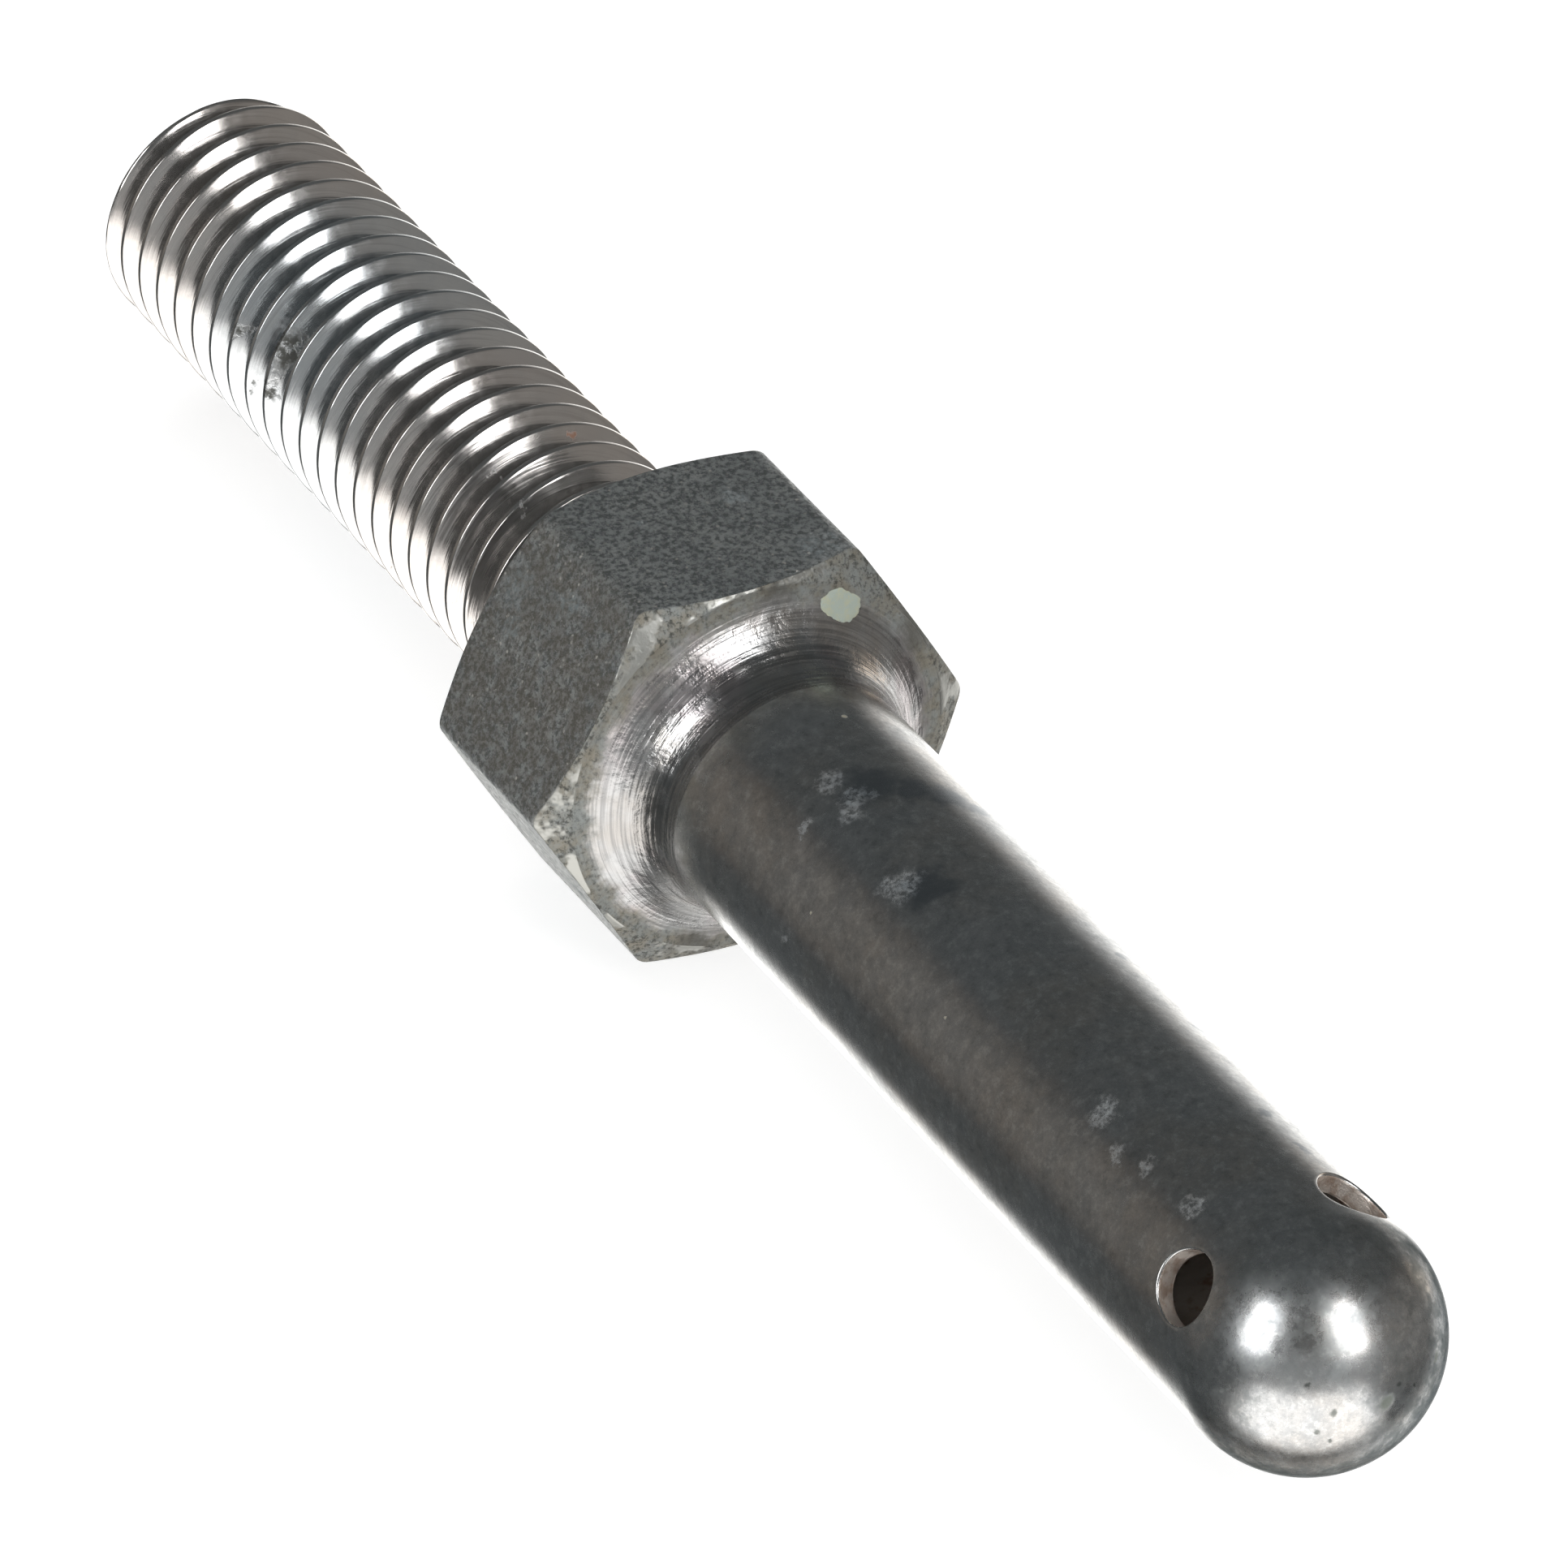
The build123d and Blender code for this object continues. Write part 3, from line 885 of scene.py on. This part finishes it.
def make_dab():
    """Dried dab of pale green, a thin raised blob on the neck's outer edge."""
    points = []
    steps, turns = 14, 60
    for i in range(steps + 1):
        share = i / steps
        row = []
        for turn in np.linspace(0, 2 * math.pi, turns, endpoint=False):
            c, s = math.cos(turn), math.sin(turn)
            broad = noise.noise(Vector((c * 1.3, s * 1.3, 4.0)))
            fine = noise.noise(Vector((c, s, 0.3)) * 5)
            edge = 1.0 + 0.14 * broad + 0.09 * fine
            angle = math.radians(DAB_ANGLE) + DAB_LENGTH * share * edge * c / DAB_RADIUS
            radius = DAB_RADIUS + DAB_WIDTH * share * edge * s
            crumb = noise.noise(Vector((angle * 20, radius * 3, 1.0))) * 0.02
            height = DAB_HEIGHT * (1 - share**4) + crumb * (1 - share) - DAB_SINK * share**4
            x = neck_x(radius) + height
            row.append((x, radius * math.cos(angle), radius * math.sin(angle)))
        points.append(row)
    skin = Skin()
    skin.grid(points, 0, closed=True)
    return skin.build("dab")


def neck_x(radius):
    """Where the concave neck stands along X at a given distance from the axis."""
    reach = SHANK + NECK - min(radius, HEX_FACE_RADIUS - 0.06)
    return NECK_END - math.sqrt(max(NECK**2 - reach**2, 0.0))


body = make_body()
# in the order of the finish numbers, HEX_SKIN to REAR
for make_finish in (
    hexagon_skin,
    chamfer_metal,
    neck_metal,
    shank_metal,
    drilled_metal,
    bore_metal,
    rear_metal,
):
    body.data.materials.append(make_finish())
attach(body, "root")
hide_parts("pin_body")

dab = make_dab()
dab.data.materials.append(paint_dab_material())
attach(dab, "root")
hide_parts("pin_body")

stud = make_stud()
stud.data.materials.append(thread_metal())
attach(stud, "root")
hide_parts("threaded_stud")

# ------------------------------------------------------------------ studio
def towards(azimuth, elevation):
    """Unit vector from the object, azimuth 0 towards -Y and 90 towards +X, in degrees."""
    a, e = math.radians(azimuth), math.radians(elevation)
    return Vector((math.sin(a) * math.cos(e), -math.cos(a) * math.cos(e), math.sin(e)))


FLOOR_RADIUS = 3.0
FLOOR_GREY = (0.5, 0.5, 0.5, 1)
FLOOR_GLOW = 0.7
WHITE = (1.0, 1.0, 1.0, 1)


def make_floor():
    """Pale floor under the pin, glowing a little so that its shadow is faint."""
    bpy.ops.mesh.primitive_circle_add(vertices=96, radius=FLOOR_RADIUS, fill_type="NGON")
    floor = bpy.context.object
    floor.name = "floor"
    floor.location = (0, 0, cad_low.z)
    material = bpy.data.materials.new("pale_floor")
    material.use_nodes = True
    shader = material.node_tree.nodes["Principled BSDF"]
    shader.inputs["Base Color"].default_value = FLOOR_GREY
    shader.inputs["Roughness"].default_value = 0.9
    shader.inputs["Emission Color"].default_value = WHITE
    shader.inputs["Emission Strength"].default_value = FLOOR_GLOW
    shader.inputs["Specular IOR Level"].default_value = 0.1
    floor.data.materials.append(material)
    floor.visible_glossy = False
    floor.visible_shadow = False


def softbox(name, azimuth, elevation, distance, width, height, radiance, glossy=True):
    """Area light of the given radiance that faces the pin."""
    data = bpy.data.lights.new(name, "AREA")
    data.shape = "RECTANGLE"
    data.size, data.size_y = width, height
    data.energy = radiance * math.pi * width * height
    light = bpy.data.objects.new(name, data)
    bpy.context.scene.collection.objects.link(light)
    away = towards(azimuth, elevation)
    light.location = away * distance
    light.rotation_euler = away.to_track_quat("Z", "Y").to_euler()
    light.visible_camera = False
    light.visible_glossy = glossy


# Two tall lamps, either side of LAMP_MIDDLE: elevation, distance, width, height, radiance
LAMP_MIDDLE = 60
LAMP_SPREAD = 40
LAMP = (32, 0.6, 0.2, 0.37, 7.0)
# Soft light from above: azimuth, then the same
OVERHEAD = (0, 90, 1.0, 1.2, 1.2, 1.6)

# Colour of the dim room, and the white cards and pale walls that the pin's metal mirrors:
# azimuth, elevation, half width, its softness, half height, its softness (degrees), colour
ROOM = (0.116, 0.124, 0.125)
CARDS = (
    (62, -42, 44, 7, 29, 6, (2.3, 2.27, 2.22)),
    (-138, -42, 37, 11, 38, 25, (2.3, 2.28, 2.22)),
    (145, 2, 40, 20, 28, 20, (0.3, 0.29, 0.275)),
    (70, 4, 48, 14, 20, 14, (0.4, 0.41, 0.41)),
    (-48, 8, 26, 18, 26, 18, (0.235, 0.222, 0.205)),
    (-166, -4, 5, 3, 8, 4, (2.6, 2.2, 1.8)),
)


class WorldNodes(Maths):
    """The studio world's node tree, with a short call for a card."""

    def __init__(self, tree):
        super().__init__(tree)
        self.direction = tree.nodes.new("ShaderNodeTexCoord").outputs["Generated"]

    def within(self, offset, half, soft):
        """1 where the angle is well inside half, falling softly to 0 outside it."""
        outer, inner = math.radians(half + soft), math.radians(half - soft)
        return self.ramp(self.math("ABSOLUTE", offset), outer, inner)

    def card(self, azimuth, elevation, half_width, soft_width, half_height, soft_height):
        """Mask of a rectangle that faces the pin from the given direction."""
        centre = towards(azimuth, elevation)
        across = Vector((math.cos(math.radians(azimuth)), math.sin(math.radians(azimuth)), 0.0))
        upward = across.cross(centre) * -1
        ahead = self.vector("DOT_PRODUCT", self.direction, centre)
        side = self.vector("DOT_PRODUCT", self.direction, across)
        rise = self.vector("DOT_PRODUCT", self.direction, upward)
        wide = self.within(self.math("ARCTAN2", side, ahead), half_width, soft_width)
        tall = self.within(self.math("ARCTAN2", rise, ahead), half_height, soft_height)
        return self.math("MULTIPLY", wide, tall)


def make_world():
    """Dim room with white cards under and behind the pin, and a pale backdrop for the camera."""
    world = bpy.data.worlds.new("studio")
    world.use_nodes = True
    tree = world.node_tree
    tree.nodes.clear()
    nodes = WorldNodes(tree)
    total = ROOM
    for *place, colour in CARDS:
        mask = nodes.card(*place)
        total = nodes.vector("MAXIMUM", nodes.vector("SCALE", colour, scale=mask), total)
    output = tree.nodes.new("ShaderNodeOutputWorld")
    room = tree.nodes.new("ShaderNodeBackground")
    tree.links.new(total, room.inputs["Color"])
    backdrop = tree.nodes.new("ShaderNodeBackground")
    backdrop.inputs["Color"].default_value = WHITE
    seen = tree.nodes.new("ShaderNodeLightPath").outputs["Is Camera Ray"]
    mix = tree.nodes.new("ShaderNodeMixShader")
    tree.links.new(seen, mix.inputs[0])
    tree.links.new(room.outputs[0], mix.inputs[1])
    tree.links.new(backdrop.outputs[0], mix.inputs[2])
    tree.links.new(mix.outputs[0], output.inputs["Surface"])
    bpy.context.scene.world = world


CAMERA_AZIMUTH = 61.1
CAMERA_ELEVATION = 34.9
CAMERA_DISTANCE = 0.7818
CAMERA_LENS = 409.1
CAMERA_AIM = Vector((0.01086, 0.00109, -0.00108))
SENSOR_WIDTH = 36.0


def make_camera():
    """Long lens looking down on the pin from its ball end."""
    data = bpy.data.cameras.new("camera")
    data.lens = CAMERA_LENS
    data.sensor_width = SENSOR_WIDTH
    data.clip_start, data.clip_end = 0.01, 20.0
    camera = bpy.data.objects.new("camera", data)
    bpy.context.scene.collection.objects.link(camera)
    back = towards(CAMERA_AZIMUTH, CAMERA_ELEVATION)
    camera.location = CAMERA_AIM + back * CAMERA_DISTANCE
    camera.rotation_euler = back.to_track_quat("Z", "Y").to_euler()
    bpy.context.scene.camera = camera


make_floor()
make_world()
softbox("lamp_left", LAMP_MIDDLE - LAMP_SPREAD, *LAMP)
softbox("lamp_right", LAMP_MIDDLE + LAMP_SPREAD, *LAMP)
softbox("overhead", *OVERHEAD, glossy=False)
make_camera()
bpy.context.scene.view_settings.view_transform = "Standard"
